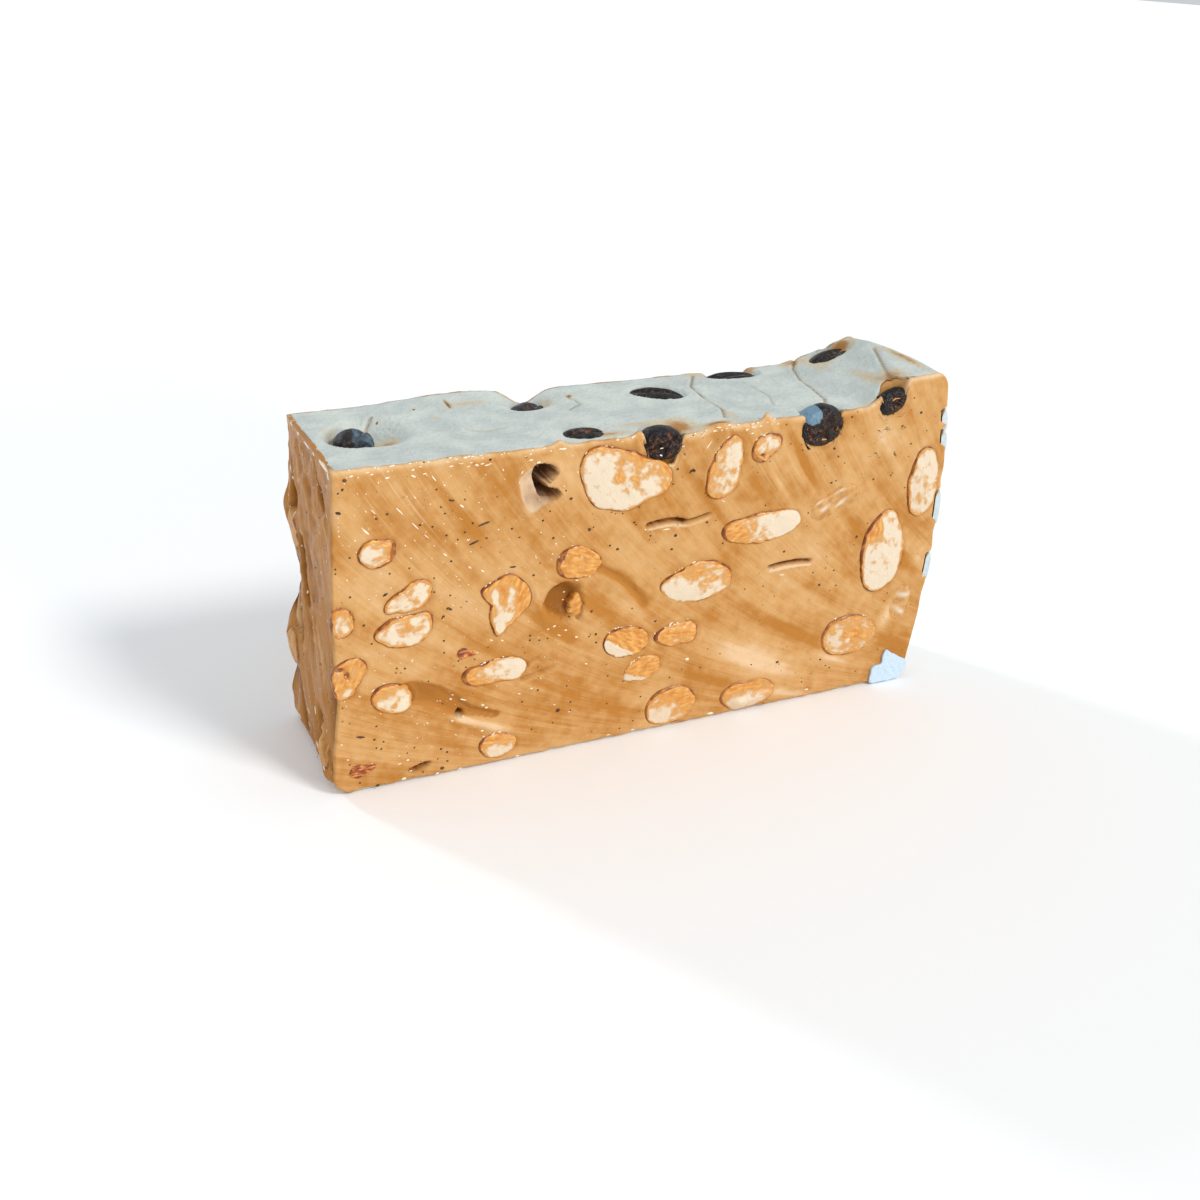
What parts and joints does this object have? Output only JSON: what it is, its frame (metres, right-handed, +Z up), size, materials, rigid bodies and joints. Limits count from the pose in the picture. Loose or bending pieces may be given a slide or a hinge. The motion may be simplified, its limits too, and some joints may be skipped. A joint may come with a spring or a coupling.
{
  "type": "nougat bar",
  "caption": "Hand-cut slab of coffee nougat standing on its long side, with cut almonds, coffee beans along the top and a pale edible wafer skin.",
  "frame": {"origin": "middle of the flat foot that the bar stands on", "axes": "+X along the length towards the rounded, skin-covered end; +Y from the front cut to the back cut; +Z up"},
  "size_m": [0.1432, 0.0364, 0.077],
  "materials": {
    "nougat": "sticky, semi-gloss knife-cut nougat, golden tan",
    "almond": "toasted almond cut through, cream with tan mottling and a thin brown skin",
    "almond_skin": "dark red-brown almond skin",
    "coffee_bean": "dark roasted, satin sheen",
    "wafer": "matt, pale edible wafer paper"
  },
  "bodies": {
    "root": {"nougat": "nougat", "wafer_top": "wafer", "wafer_base": "wafer", "wafer_corner": "wafer", "almond_front_1": "almond", "almond_front_2": "almond", "almond_front_3": "almond", "almond_front_4": "almond", "almond_front_5": "almond", "almond_front_6": "almond", "almond_front_7": "almond", "almond_front_8": "almond", "almond_front_9": "almond", "almond_front_10": "almond", "almond_front_11": "almond", "almond_front_12": "almond", "almond_front_13": "almond", "almond_front_14": "almond", "almond_front_15": "almond", "almond_front_16": "almond", "almond_front_17": "almond", "almond_front_18": "almond", "almond_front_19": "almond", "almond_front_20": "almond", "almond_front_21": "almond", "almond_front_22": "almond", "almond_front_23": "almond", "almond_front_24": "almond", "almond_front_25": "almond", "almond_front_26": "almond", "almond_back_1": "almond", "almond_back_2": "almond", "almond_back_3": "almond", "almond_back_4": "almond", "almond_back_5": "almond", "almond_back_6": "almond", "almond_back_7": "almond", "almond_back_8": "almond", "almond_back_9": "almond", "almond_back_10": "almond", "almond_back_11": "almond", "almond_back_12": "almond", "almond_back_13": "almond", "almond_back_14": "almond", "almond_back_15": "almond", "almond_back_16": "almond", "almond_end_1": "almond", "almond_end_2": "almond", "almond_end_3": "almond", "skin_scrap_1": "almond_skin", "skin_scrap_2": "almond_skin", "coffee_bean_1": "coffee_bean", "coffee_bean_2": "coffee_bean", "coffee_bean_3": "coffee_bean", "coffee_bean_4": "coffee_bean", "coffee_bean_5": "coffee_bean", "coffee_bean_6": "coffee_bean", "coffee_bean_7": "coffee_bean", "coffee_bean_8": "coffee_bean", "coffee_bean_9": "coffee_bean"}
  },
  "joints": []
}
